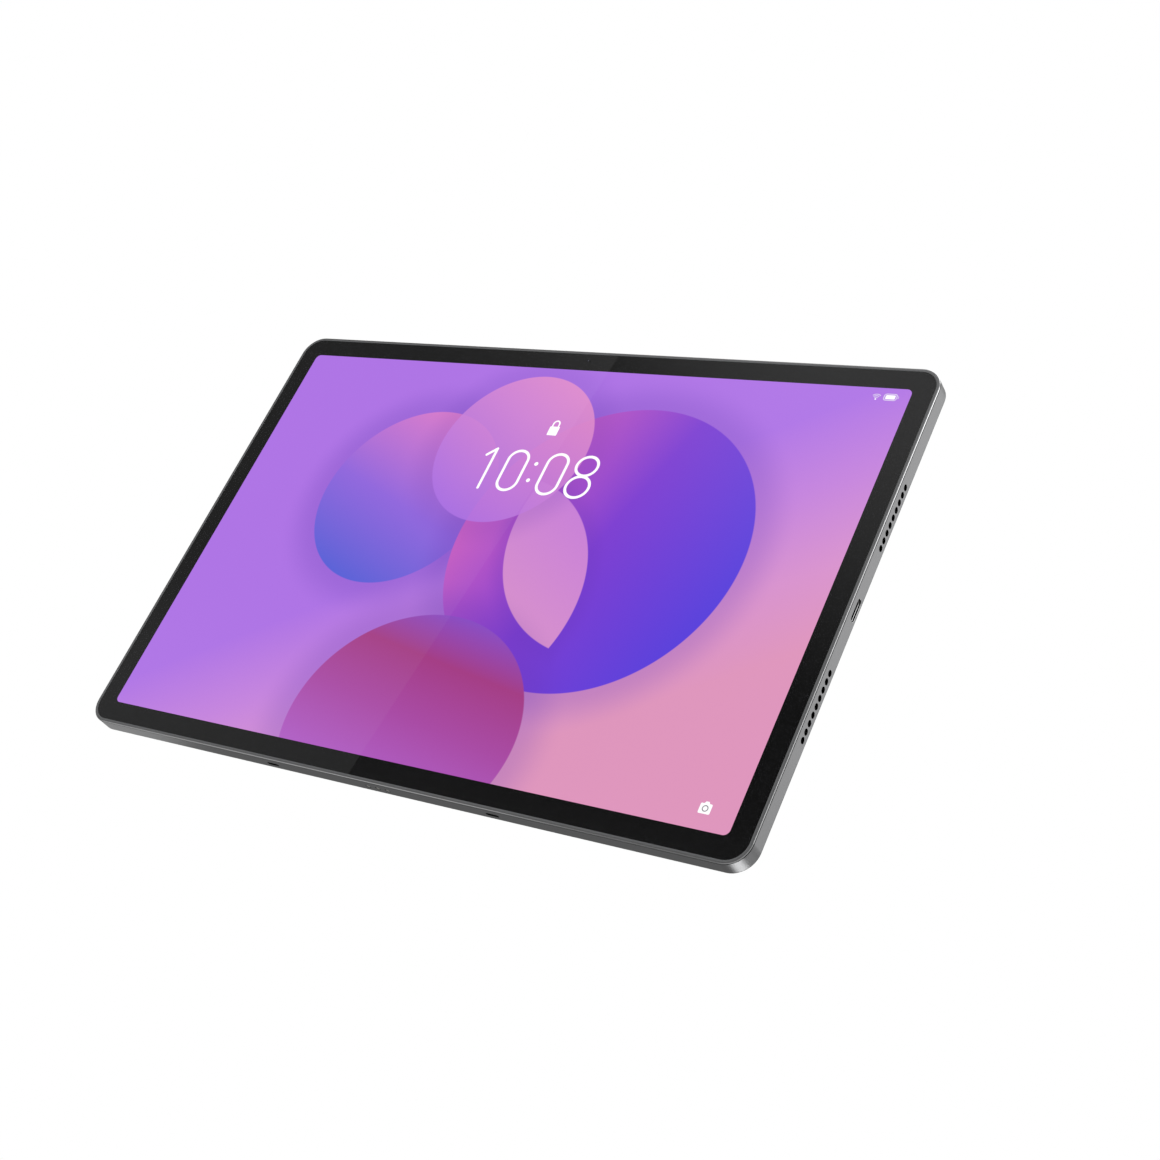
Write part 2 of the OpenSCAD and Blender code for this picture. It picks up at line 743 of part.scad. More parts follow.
module main_board() {
    color("#1f6b3a") difference() {
        union() {
            block(board_x, board_y, board_z);
            for (x = [-82 : 14 : -54]) block([x, x + 8], [0.3, board_y[0] + 0.05], [123, 126.5]);
            for (z = [134 : 9 : 161]) block([50, 56], [0.4, board_y[0] + 0.05], [z, z + 5]);
            for (z = [134 : 12 : 158]) block([-14, -4], [0.2, board_y[0] + 0.05], [z, z + 8]);
        }
        screw_holes(main_screws);
    }
}

// Thin metal can, open towards the board
module shield(x, z) {
    difference() {
        block(x, [-0.35, board_y[0]], z);
        block([x[0] + 0.2, x[1] - 0.2], [-0.15, board_y[0] + 1], [z[0] + 0.2, z[1] - 0.2]);
    }
}

module board_shields() {
    color("#c3c5c8") {
        shield([-72, -20], [131, 172]);
        shield([2, 46], [131, 168]);
    }
}

module heat_spreader() {
    color("#3c3d40") slab(126, 44, 2, -0.45, -0.35, -14, 150);
}

// Flat pouch cell with a folded rim at its top end
module cell(side) {
    middle_x = side * (cell_x[0] + cell_x[1]) / 2;
    color("#2f3033") {
        slab(cell_x[1] - cell_x[0], cell_z[1] - cell_z[0] - 3, 2, cell_front_y, cell_back_y,
            middle_x, (cell_z[0] + cell_z[1] - 3) / 2);
        block([middle_x - 50, middle_x + 50], [edge_y - 0.2, edge_y + 0.2],
            [cell_z[1] - 3.1, cell_z[1]]);
    }
}

module battery_cell_left() { cell(-1); }
module battery_cell_right() { cell(1); }

module battery_board() {
    color("#1f6b3a") {
        block([-36, 36], [edge_y + 0.5, edge_y + 1.1], [cell_z[1] + 0.4, 118]);
        for (x = [-30, -18, 14, 26])
            block([x, x + 6], [edge_y - 0.1, edge_y + 0.51], [cell_z[1], 115]);
        block([10, 24], [edge_y + 0.35, edge_y + 0.5], [116, 126]);
        block([10, 24], [edge_y + 0.2, board_y[0]], [123, 126]);
    }
}

module battery_tape() {
    color("#e9e9e4") both_sides() for (x = [14, 44, 74])
        block([x, x + 18], [cell_back_y, inner_back_y], [20, 100]);
}

module main_flex() {
    y = [usb_board_y[0] - 0.2, usb_board_y[0]];
    color("#c98a2b") {
        block([114.6, 120], y, [92, 97]);
        block([114.6, 117.5], y, [92, 157]);
        block([70, 117.5], y, [154, 157]);
        block([70, 73], [0.6, y[1]], [154, 157]);
        block([57, 73], [0.6, 0.8], [154, 157]);
        block([57, 61.5], [0.6, board_y[0]], [153, 158]);
    }
}

module wifi_antennas() {
    color("#26272a") for (x = [-95, 70]) {
        block([x, x + 36], [0.4, 1.4], [182.4, inner_top_z]);
        block([x + 2, x + 34], [0.3, 0.45], [183.2, 186.6]);
    }
}

// Coaxial lead along a list of points, held to the boards all the way
module lead(points) {
    for (k = [0 : len(points) - 2]) {
        step = points[k + 1] - points[k];
        translate(points[k]) rotate([0, acos(step[2] / norm(step)), atan2(step[1], step[0])])
            cylinder(r = 0.4, h = norm(step));
    }
    for (k = [1 : len(points) - 2]) translate(points[k]) sphere(r = 0.4);
}

module antenna_cables() {
    color("#101113") {
        lead([[-76, 0.5, 182.4], [-76, 0.5, 176]]);
        lead([[76, 0.5, 182.4], [76, 0.5, 180.5], [48, 0.5, 180.5], [48, 0.5, 176]]);
    }
}

module board_screws() {
    color("#dcdde0") {
        for (p = main_screws) screw(p[0], p[1], board_y[0]);
        for (p = card_screws) screw(p[0], p[1], card_board_y[0]);
        for (p = usb_screws) screw(p[0], p[1], usb_board_y[0]);
    }
}

// ---- What is drawn -----------------------------------------------------------------------

rear_housing();
display_bezel_ring();
glass_gasket();
cover_glass();
display_adhesive();
optical_adhesive();
lcd_panel();
backlight_unit();
display_back_plate();
display_driver_board();
display_flex();
camera_island();
camera_lens_ring();
camera_window();
camera_can();
camera_lens_barrel();
camera_sensor_board();
flash_lens();
flash_ring();
flash_led();
inlay_strip();
power_button();
volume_rocker();
key_domes();
key_flex();
key_brackets();
card_tray();
tray_gasket();
card_socket();
card_board();
eject_rod();
eject_lever();
usb_c_shell();
usb_c_tongue();
usb_board();
dock_contacts();
dock_contact_carrier();
dock_flex();
dock_magnets();
speaker_upper_left();
speaker_lower_left();
speaker_upper_right();
speaker_lower_right();
speaker_dust_mesh();
microphones();
front_camera_module();
front_camera_lens();
light_sensor();
main_board();
board_shields();
heat_spreader();
battery_cell_left();
battery_cell_right();
battery_board();
battery_tape();
main_flex();
wifi_antennas();
antenna_cables();
board_screws();
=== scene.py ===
"""The looks of a slim tablet computer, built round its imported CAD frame.

+X is to the right as the screen is seen, +Y from the glass to the back, +Z up the screen, in
metres. Outlines are in millimetres in the X-Z plane, and depths come from the CAD nodes' boxes.
"""

import math

import bmesh
import bpy
from mathutils import Matrix, Vector


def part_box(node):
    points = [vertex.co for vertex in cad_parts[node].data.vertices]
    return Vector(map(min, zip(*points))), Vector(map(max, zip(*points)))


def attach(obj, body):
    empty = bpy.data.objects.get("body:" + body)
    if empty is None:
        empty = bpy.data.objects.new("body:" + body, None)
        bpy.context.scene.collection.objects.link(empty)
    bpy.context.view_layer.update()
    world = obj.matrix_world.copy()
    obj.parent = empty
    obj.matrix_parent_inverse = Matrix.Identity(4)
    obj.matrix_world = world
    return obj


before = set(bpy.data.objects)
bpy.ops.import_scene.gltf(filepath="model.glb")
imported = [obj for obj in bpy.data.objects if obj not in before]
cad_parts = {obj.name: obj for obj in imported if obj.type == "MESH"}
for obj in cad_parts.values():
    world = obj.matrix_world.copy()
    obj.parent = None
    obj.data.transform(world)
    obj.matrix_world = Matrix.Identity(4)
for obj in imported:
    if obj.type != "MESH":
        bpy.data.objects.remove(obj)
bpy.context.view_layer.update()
scene = bpy.context.scene
MM = 0.001

# Sizes that the CAD nodes' boxes don't give, in millimetres
CORNER_RADIUS = 8.6
PICTURE_WIDTH, PICTURE_HEIGHT = 273.54, 170.96
GLASS_BEVEL = 0.13
FRONT_CAMERA_X, FRONT_CAMERA_Z = 0.3, 184.8
PORT_WIDTH, PORT_LENGTH, SHELL_MOUTH_LENGTH = 2.6, 8.7, 8.34
# Where these lie along Y on the side walls
FRONT_BEVEL_END, PARTING_SHADE_END, BACK_BEVEL_START = -3.14, -2.7, 2.99

GLASS_INDEX = 1.45
PICTURE_GLOW = 1.06


def box_mm(node):
    """Lowest and highest corner of a CAD node, in millimetres."""
    low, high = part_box(node)
    return low / MM, high / MM


def middle_mm(node):
    """Middle of a CAD node's box, in millimetres."""
    low, high = box_mm(node)
    return [(first + last) / 2 for first, last in zip(low, high)]


# ---- Camera, lights and floor ------------------------------------------------------------

CAMERA_PLACE = Vector((0.41399, -0.46671, -0.17266))
CAMERA_RIGHT = Vector((0.81275, 0.42616, 0.39726))
CAMERA_UP = Vector((-0.11140, -0.55560, 0.82395))
CAMERA_FORWARD = Vector((-0.57186, 0.71393, 0.40409))
CAMERA_LENS = 58.27


def add_object(name, data):
    piece = bpy.data.objects.new(name, data)
    scene.collection.objects.link(piece)
    return piece


def make_camera():
    data = bpy.data.cameras.new("camera")
    data.lens = CAMERA_LENS
    data.sensor_width = 36.0
    camera = add_object("camera", data)
    turn = Matrix((CAMERA_RIGHT, CAMERA_UP, -CAMERA_FORWARD)).transposed().to_4x4()
    camera.matrix_world = Matrix.Translation(CAMERA_PLACE) @ turn
    scene.camera = camera


def area_light(name, place, target, size, radiance, roll=0.0):
    """A soft box at place that faces target. Its surface has the given radiance."""
    data = bpy.data.lights.new(name, "AREA")
    data.shape = "RECTANGLE"
    data.size, data.size_y = size
    data.energy = radiance * math.pi * size[0] * size[1]
    lamp = add_object(name, data)
    back = (Vector(place) - Vector(target)).normalized()
    turn = back.to_track_quat("Z", "Y").to_matrix().to_4x4()
    lamp.matrix_world = Matrix.Translation(place) @ turn @ Matrix.Rotation(roll, 4, "Z")
    lamp.visible_camera = False


def make_world():
    """White to the camera. To everything else a grey studio, dim in front of the screen.

    The screen shows what is in front: dark at the left and brighter up to the right."""
    world = bpy.data.worlds.new("studio")
    scene.world = world
    world.use_nodes = True
    tree = world.node_tree
    tree.nodes.clear()
    paths = tree.nodes.new("ShaderNodeLightPath")
    place = tree.nodes.new("ShaderNodeTexCoord")
    split = tree.nodes.new("ShaderNodeSeparateXYZ")
    tree.links.new(place.outputs["Generated"], split.inputs[0])
    side, ahead, height = (Field(tree, split.outputs[axis]) for axis in "XYZ")
    behind = (height.step(-0.9, 0.9) * 0.4 + 0.13) * ahead.step(-0.55, 0.2)
    right = (height.step(0.38, 0.55) * 0.65 + 0.12) * side.step(-0.66, -0.46)
    level = behind + (right + height.step(0.34, 0.25) * 0.2 + 0.02) * ahead.step(-0.1, -0.5)
    soft = tree.nodes.new("ShaderNodeBackground")
    link(level, soft.inputs[0])
    white = tree.nodes.new("ShaderNodeBackground")
    white.inputs[0].default_value = (1, 1, 1, 1)
    mix = tree.nodes.new("ShaderNodeMixShader")
    tree.links.new(paths.outputs["Is Camera Ray"], mix.inputs[0])
    tree.links.new(soft.outputs[0], mix.inputs[1])
    tree.links.new(white.outputs[0], mix.inputs[2])
    out = tree.nodes.new("ShaderNodeOutputWorld")
    tree.links.new(mix.outputs[0], out.inputs[0])


def make_lights():
    middle = (0, 0, 0.1)
    # Its right edge is the sloping line that the glass shows
    area_light("glare_box", (-1.72, -1.5, 0.95), (-1.72, 0.0, 0.95), (0.76, 1.3), 0.24,
               math.radians(-7.6))
    area_light("top_box", (0.0, 0.1, 1.4), middle, (1.6, 1.2), 1.1)
    area_light("right_box", (1.05, 1.3, 1.0), middle, (1.0, 1.1), 0.62)
    area_light("back_box", (-0.9, 1.3, 0.9), middle, (1.2, 1.0), 1.1)
    # These show in the bottom edge: at its left end, and round its right corner
    area_light("low_left_box", (-0.27, 0.11, -0.05), (-0.14, 0, 0), (0.07, 0.07), 0.5)
    area_light("low_right_box", (0.46, 1.4, -0.92), (0.143, 0, 0), (0.9, 0.7), 2.7)
    # These show in the front bevel, on the right and at the bottom
    area_light("rim_right_box", (1.3, -1.05, 0.75), middle, (0.7, 0.7), 0.85)
    area_light("rim_right_high_box", (1.38, -0.72, 1.28), middle, (0.6, 0.4), 1.05)
    area_light("rim_low_box", (-1.15, -0.63, -1.1), middle, (1.1, 0.7), 0.36)
    area_light("front_box", (0.5, -1.0, 1.3), middle, (1.0, 1.0), 1.4)
    # These show in the left edge and in the back, seen from behind
    area_light("left_edge_box", (-1.1, -1.1, -0.1), middle, (0.8, 0.35), 1.4)
    area_light("back_low_box", (1.4, 0.95, -0.35), middle, (0.8, 0.6), 0.8)


def make_floor():
    """A pale floor just under the tablet, seen only from above: the camera looks up through it."""
    mesh = bpy.data.meshes.new("floor")
    radius, height, steps = 6.0, -0.0004, 64
    turns = [math.tau * k / steps for k in range(steps)]
    rim = [(radius * math.cos(turn), radius * math.sin(turn), height) for turn in turns]
    mesh.from_pydata(rim, [], [tuple(range(steps))])
    floor = add_object("floor", mesh)
    material = bpy.data.materials.new("pale_floor")
    material.use_nodes = True
    tree = material.node_tree
    shader = tree.nodes["Principled BSDF"]
    shader.inputs["Base Color"].default_value = (0.86, 0.86, 0.86, 1)
    shader.inputs["Roughness"].default_value = 0.8
    # Far from the tablet it glows white, so that it runs into the backdrop
    x, y, _ = place_mm(tree)
    glow = tree.nodes.new("ShaderNodeEmission")
    fade = tree.nodes.new("ShaderNodeMixShader")
    link(distance(x, y).step(350, 1500), fade.inputs[0])
    tree.links.new(shader.outputs[0], fade.inputs[1])
    tree.links.new(glow.outputs[0], fade.inputs[2])
    clear = tree.nodes.new("ShaderNodeBsdfTransparent")
    side = tree.nodes.new("ShaderNodeNewGeometry")
    mix = tree.nodes.new("ShaderNodeMixShader")
    tree.links.new(side.outputs["Backfacing"], mix.inputs[0])
    tree.links.new(fade.outputs[0], mix.inputs[1])
    tree.links.new(clear.outputs[0], mix.inputs[2])
    tree.links.new(mix.outputs[0], tree.nodes["Material Output"].inputs[0])
    mesh.materials.append(material)
    floor.visible_diffuse = False
    floor.visible_glossy = False
    floor.visible_transmission = False
    floor.visible_shadow = False


# ---- Material helpers --------------------------------------------------------------------


class Field:
    """A number that varies over a surface: a node socket that arithmetic can be done on."""

    def __init__(self, tree, socket):
        self.tree = tree
        self.socket = socket

    def _math(self, operation, *others):
        node = self.tree.nodes.new("ShaderNodeMath")
        node.operation = operation
        for slot, value in zip(node.inputs, (self, *others)):
            if isinstance(value, Field):
                self.tree.links.new(value.socket, slot)
            else:
                slot.default_value = value
        return Field(self.tree, node.outputs[0])

    def __add__(self, other):
        return self._math("ADD", other)

    def __sub__(self, other):
        return self._math("SUBTRACT", other)

    def __mul__(self, other):
        return self._math("MULTIPLY", other)

    def most(self, other):
        return self._math("MAXIMUM", other)

    def size(self):
        return self._math("ABSOLUTE")

    def root(self):
        return self._math("SQRT")

    def step(self, start, end):
        """Smoothly from 0 at start to 1 at end."""
        node = self.tree.nodes.new("ShaderNodeMapRange")
        node.interpolation_type = "SMOOTHSTEP"
        first, last = (start, end) if start < end else (end, start)
        self.tree.links.new(self.socket, node.inputs["Value"])
        node.inputs["From Min"].default_value = first
        node.inputs["From Max"].default_value = last
        node.inputs["To Min"].default_value = 0.0 if start < end else 1.0
        node.inputs["To Max"].default_value = 1.0 if start < end else 0.0
        return Field(self.tree, node.outputs[0])

    def colours(self, *stops):
        """A colour ramp: (position, colour) pairs."""
        node = self.tree.nodes.new("ShaderNodeValToRGB")
        points = node.color_ramp.elements
        while len(points) < len(stops):
            points.new(0.5)
        for point, (place, colour) in zip(points, stops):
            point.position = place
            point.color = (*colour, 1)
        self.tree.links.new(self.socket, node.inputs[0])
        return Field(self.tree, node.outputs[0])


def screen_colour(red, green, blue):
    """A colour from the 0 to 255 numbers that a display uses."""
    parts = []
    for part in (red, green, blue):
        part /= 255
        parts.append(part / 12.92 if part <= 0.04045 else ((part + 0.055) / 1.055) ** 2.4)
    return tuple(parts)


def blend_colours(amount, first, second):
    """Mixes two colours, each a Field or three numbers."""
    tree = amount.tree
    node = tree.nodes.new("ShaderNodeMix")
    node.data_type = "RGBA"
    tree.links.new(amount.socket, node.inputs[0])
    for slot, colour in ((node.inputs[6], first), (node.inputs[7], second)):
        if isinstance(colour, Field):
            tree.links.new(colour.socket, slot)
        else:
            slot.default_value = (*colour, 1)
    return Field(tree, node.outputs[2])


def place_mm(tree):
    """X, Y and Z on the surface at rest, in millimetres."""
    node = tree.nodes.new("ShaderNodeTexCoord")
    split = tree.nodes.new("ShaderNodeSeparateXYZ")
    tree.links.new(node.outputs["Object"], split.inputs[0])
    return [Field(tree, split.outputs[k]) * (1 / MM) for k in range(3)]


def noise(tree, grain_mm, detail=2.0):
    """Noise whose lumps are about grain_mm across, from 0 to 1."""
    where = tree.nodes.new("ShaderNodeTexCoord")
    node = tree.nodes.new("ShaderNodeTexNoise")
    node.inputs["Scale"].default_value = 1 / (grain_mm * MM)
    node.inputs["Detail"].default_value = detail
    tree.links.new(where.outputs["Object"], node.inputs["Vector"])
    return Field(tree, node.outputs["Fac"])


def new_material(name):
    material = bpy.data.materials.new(name)
    material.use_nodes = True
    shader = material.node_tree.nodes["Principled BSDF"]
    return material, material.node_tree, shader


def link(value, socket):
    value.tree.links.new(value.socket, socket)


def distance(across, up):
    """How far away a point is, from its two distances at right angles."""
    return (across * across + up * up).root()


def bump(tree, shader, height, depth_mm, strength):
    node = tree.nodes.new("ShaderNodeBump")
    node.inputs["Strength"].default_value = strength
    node.inputs["Distance"].default_value = depth_mm * MM
    link(height, node.inputs["Height"])
    tree.links.new(node.outputs[0], shader.inputs["Normal"])


def shade(colour, amount):
    return tuple(min(1.0, part * amount) for part in colour)


def grained(name, colour, rough, metal=0.0, grain_mm=0.3, vary=0.08, rough_vary=0.06,
            depth_mm=0.004, coat=0.0):
    """A surface with a fine grain in its colour, roughness and height."""
    material, tree, shader = new_material(name)
    speck = noise(tree, grain_mm)
    link(speck.colours((0.3, shade(colour, 1 - vary)), (0.7, shade(colour, 1 + vary))),
         shader.inputs["Base Color"])
    link((speck - 0.5) * (2 * rough_vary) + rough, shader.inputs["Roughness"])
    shader.inputs["Metallic"].default_value = metal
    shader.inputs["Coat Weight"].default_value = coat
    bump(tree, shader, speck, depth_mm, 0.5)
    return material


def recessed(tree):
    """1 on surfaces sunk into the tablet's side walls and 0 on its outer faces and bevels.

    The round corners are cut into facets, whose middles lie 0.022 mm inside the true round, so
    only what is deeper than that counts as sunk."""
    x, y, z = place_mm(tree)
    high = box_mm("rear_housing")[1]
    middle = middle_mm("rear_housing")[2]
    across = (x.size() - (high.x - CORNER_RADIUS)).most(0.0)
    up = ((z - middle).size() - (high.z - middle - CORNER_RADIUS)).most(0.0)
    depth = distance(across, up) * -1.0 + CORNER_RADIUS
    between = (y.step(FRONT_BEVEL_END, FRONT_BEVEL_END + 0.03)
               * y.step(BACK_BEVEL_START, BACK_BEVEL_START - 0.03))
    return depth.step(0.028, 0.04) * between


def anodised(name, colour, bright, rough=0.36):
    """Blasted and anodised aluminium, with its bevels cut bright after blasting.

    A bevel is known by its slope: neither square to Y nor along it. Cavities are painted near black
    inside as painted shade; a stripe of painted shade marks the parting line behind the front
    bevel."""
    material, tree, shader = new_material(name)
    where = tree.nodes.new("ShaderNodeTexCoord")
    split = tree.nodes.new("ShaderNodeSeparateXYZ")
    tree.links.new(where.outputs["Normal"], split.inputs[0])
    slope = Field(tree, split.outputs[1]).size()
    bevel = slope.step(0.35, 0.5) * slope.step(0.93, 0.85)
    _, y, _ = place_mm(tree)
    # Painted shade: a dark stripe along the parting line, wider than its groove, stands in for its
    # shadow
    parting = (y.step(FRONT_BEVEL_END, FRONT_BEVEL_END + 0.02)
               * y.step(PARTING_SHADE_END, PARTING_SHADE_END - 0.02) * slope.step(0.3, 0.2))
    speck = noise(tree, 0.12, 3.0)
    cloud = noise(tree, 18.0, 1.0)
    base = speck.colours((0.25, shade(colour, 0.93)), (0.75, shade(colour, 1.07)))
    base = blend_colours(cloud.step(0.2, 0.8) * 0.3, base, shade(colour, 0.97))
    base = blend_colours(bevel, base, bright)
    base = blend_colours(parting, base, (0.04, 0.04, 0.042))
    # Sunk surfaces are painted near black: painted shade in the grooves, holes and openings
    link(blend_colours(recessed(tree), base, (0.015, 0.015, 0.016)), shader.inputs["Base Color"])
    dull = (speck - 0.5) * 0.1 + rough
    link(dull - bevel * (rough - 0.16), shader.inputs["Roughness"])
    shader.inputs["Metallic"].default_value = 1.0
    bump(tree, shader, speck, 0.0015, 0.6)
    return material


def clear_glass(name, tint, index=GLASS_INDEX):
    material, tree, shader = new_material(name)
    smear = noise(tree, 30.0, 1.0)
    link(smear.colours((0.0, shade(tint, 0.985)), (1.0, tint)), shader.inputs["Base Color"])
    shader.inputs["Roughness"].default_value = 0.0
    shader.inputs["IOR"].default_value = index
    shader.inputs["Transmission Weight"].default_value = 1.0
    return material


def glassy(shader):
    """Gives what lies behind the cover glass the glass's own polish, as if bonded to it."""
    shader.inputs["Roughness"].default_value = 0.0
    shader.inputs["IOR"].default_value = GLASS_INDEX


def lit(name, colour, strength=1.0):
    """A part of the picture that glows in one colour, as fine display cells do."""
    material, tree, shader = new_material(name)
    cells = noise(tree, 0.2, 1.0)
    shader.inputs["Base Color"].default_value = (0, 0, 0, 1)
    glassy(shader)
    link(cells.colours((0.2, shade(colour, 0.985)), (0.8, colour)), shader.inputs["Emission Color"])
    shader.inputs["Emission Strength"].default_value = strength
    return material


def wallpaper():
    """A plain abstract: soft overlapping discs and a leaf over a violet to pink ground."""
    material, tree, shader = new_material("wallpaper")
    x, _, z = place_mm(tree)

    def disc(centre_x, centre_z, radius, stretch=1.0):
        """Distance outside a disc's edge, below 0 inside it."""
        return distance((x - centre_x) * stretch, z - centre_z) - radius

    def along(centre_x, centre_z, angle, reach):
        """0 to 1 across a shape, in a direction given in degrees."""
        turn = math.radians(angle)
        run = (x - centre_x) * math.cos(turn) + (z - centre_z) * math.sin(turn)
        return run * (0.5 / reach) + 0.5

    def lay(picture, edge, paint, shadow=0.28, spread=16.0, opacity=1.0):
        """Lays a shape with a soft shadow round it over the picture."""
        dark = edge.step(spread, 0.0) * shadow
        picture = blend_colours(dark, picture, screen_colour(96, 52, 176))
        return blend_colours(edge.step(0.25, -0.25) * opacity, picture, paint)

    ground = (x * 0.55 - z * 0.9 + 93) * (1 / 100)
    picture = ground.colours(
        (0.0, screen_colour(168, 110, 222)), (0.35, screen_colour(190, 126, 214)),
        (0.7, screen_colour(210, 142, 200)), (1.0, screen_colour(217, 146, 184)))
    picture = lay(picture, disc(-52, 116, 40), along(-52, 116, 70, 40).colours(
        (0.0, screen_colour(84, 92, 208)), (0.45, screen_colour(140, 98, 214)),
        (1.0, screen_colour(212, 120, 196))))
    picture = lay(picture, disc(42, 104, 60), along(42, 104, -20, 60).colours(
        (0.0, screen_colour(196, 92, 186)), (0.5, screen_colour(122, 60, 204)),
        (1.0, screen_colour(86, 62, 214))))
    leaf = disc(-6, 78, 52).most(disc(56, 112, 52))
    picture = lay(picture, leaf, along(25, 95, 60, 40).colours(
        (0.0, screen_colour(214, 146, 196)), (1.0, screen_colour(190, 118, 214))), 0.2, 8.0)
    picture = lay(picture, disc(-14, 142, 34), along(-14, 142, 60, 34).colours(
        (0.0, screen_colour(168, 110, 222)), (1.0, screen_colour(224, 140, 196))), 0.2, 14.0, 0.82)
    picture = lay(picture, disc(-2, 22, 46, 0.92), along(-2, 22, 80, 46).colours(
        (0.0, screen_colour(176, 104, 216)), (0.55, screen_colour(164, 72, 160)),
        (0.8, screen_colour(160, 60, 130)), (1.0, screen_colour(134, 76, 190))))
    shader.inputs["Base Color"].default_value = (0, 0, 0, 1)
    glassy(shader)
    link(picture, shader.inputs["Emission Color"])
    shader.inputs["Emission Strength"].default_value = PICTURE_GLOW
    return material


# ---- Mesh helpers ------------------------------------------------------------------------


def arc(centre_x, centre_z, radius_x, radius_z, start, end, steps):
    """Points on an arc, with angles in degrees from +X towards +Z."""
    points = []
    for k in range(steps + 1):
        turn = math.radians(start + (end - start) * k / steps)
        points.append((centre_x + radius_x * math.cos(turn), centre_z + radius_z * math.sin(turn)))
    return points


def rounded(x0, x1, z0, z1, radius, steps=10):
    """Outline of a rectangle with round corners."""
    corners = ((x1 - radius, z1 - radius, 0), (x0 + radius, z1 - radius, 90),
               (x0 + radius, z0 + radius, 180), (x1 - radius, z0 + radius, 270))
    return [p for x, z, a in corners for p in arc(x, z, radius, radius, a, a + 90, steps)]


def oval(centre_x, centre_z, radius_x, radius_z, steps=40):
    """Outline of an ellipse, without a second point where it closes."""
    return arc(centre_x, centre_z, radius_x, radius_z, 0, 360 * (1 - 1 / steps), steps - 1)


def outline_round(node, spare, radius):
    """A node's outline, widened by spare millimetres on each side."""
    low, high = box_mm(node)
    return rounded(low.x - spare, high.x + spare, low.z - spare, high.z + spare, radius)


def thick_mesh(name, points, faces, y_front, y_back):
    """A closed plate from a flat drawing in X-Z: faces at both Y, and walls round its edges."""
    count = len(points)
    verts = [(x * MM, y_front * MM, z * MM) for x, z in points]
    verts += [(x * MM, y_back * MM, z * MM) for x, z in points]
    solid = [tuple(f) for f in faces] + [tuple(k + count for k in reversed(f)) for f in faces]
    directed = {(f[k], f[(k + 1) % len(f)]) for f in faces for k in range(len(f))}
    for a, b in sorted(directed):
        if (b, a) not in directed:
            solid.append((b, a, a + count, b + count))
    mesh = bpy.data.meshes.new(name)
    mesh.from_pydata(verts, [], solid)
    close_mesh(mesh)
    return mesh


def close_mesh(mesh):
    """Turns every face of a closed mesh outwards."""
    whole = bmesh.new()
    whole.from_mesh(mesh)
    bmesh.ops.recalc_face_normals(whole, faces=whole.faces)
    whole.to_mesh(mesh)
    whole.free()


class Drawing:
    """Flat shapes in X-Z, in millimetres, gathered into one plate."""

    def __init__(self):
        self.points = []
        self.faces = []

    def fill(self, outline):
        first = len(self.points)
        self.points += outline
        self.faces.append(tuple(range(first, first + len(outline))))

    def band(self, one, other, closed=True):
        """The strip between two lines that have the same number of points."""
        first, count = len(self.points), len(one)
        self.points += one + other
        for k in range(count if closed else count - 1):
            n = (k + 1) % count
            self.faces.append((first + k, first + n, first + count + n, first + count + k))

    def stroke(self, path, width, closed=False):
        """A line of one width along a path, with round ends if it's open."""
        half, count = width / 2, len(path)
        left, right = [], []
        for k, (x, z) in enumerate(path):
            before = path[k - 1] if closed or k else path[k]
            after = path[(k + 1) % count] if closed or k < count - 1 else path[k]
            run = Vector((after[0] - before[0], after[1] - before[1])).normalized()
            left.append((x - run.y * half, z + run.x * half))
            right.append((x + run.y * half, z - run.x * half))
        self.band(left, right, closed)
        if closed:
            return
        for end, other in ((path[0], path[1]), (path[-1], path[-2])):
            turn = math.degrees(math.atan2(end[1] - other[1], end[0] - other[0]))
            self.fill(arc(*end, half, half, turn - 90, turn + 90, 8))

    def plate(self, name, y_front, y_back, material, slot):
        """Makes the drawing a piece that rides on the tablet."""
        mesh = thick_mesh(name, self.points, self.faces, y_front, y_back)
        finish_piece(name, mesh, material, "tablet")


def finish_piece(name, mesh, material, body):
    """Gives a mesh its material and the body it rides on."""
    mesh.materials.append(material)
    piece = add_object(name, mesh)
    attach(piece, body)


def lathe(name, profile, centre_x, centre_z, material, body="tablet"):
    """A turned piece round a line along Y. The profile is a closed list of (radius, y)."""
    turned = bmesh.new()
    rings = []
    steps, count = 96, len(profile)
    for k in range(steps):
        turn = math.tau * k / steps
        rings.append([turned.verts.new((
            (centre_x + r * math.cos(turn)) * MM, y * MM, (centre_z + r * math.sin(turn)) * MM))
            for r, y in profile])
    for k in range(steps):
        here, there = rings[k], rings[(k + 1) % steps]
        for i in range(count):
            j = (i + 1) % count
            turned.faces.new((here[i], here[j], there[j], there[i]))
    bmesh.ops.remove_doubles(turned, verts=turned.verts, dist=1e-8)
    bmesh.ops.recalc_face_normals(turned, faces=turned.faces)
    mesh = bpy.data.meshes.new(name)
    turned.to_mesh(mesh)
    turned.free()
    for face in mesh.polygons:
        face.use_smooth = True
    mesh.set_sharp_from_angle(angle=math.radians(30))
    finish_piece(name, mesh, material, body)


# ---- Screen ------------------------------------------------------------------------------


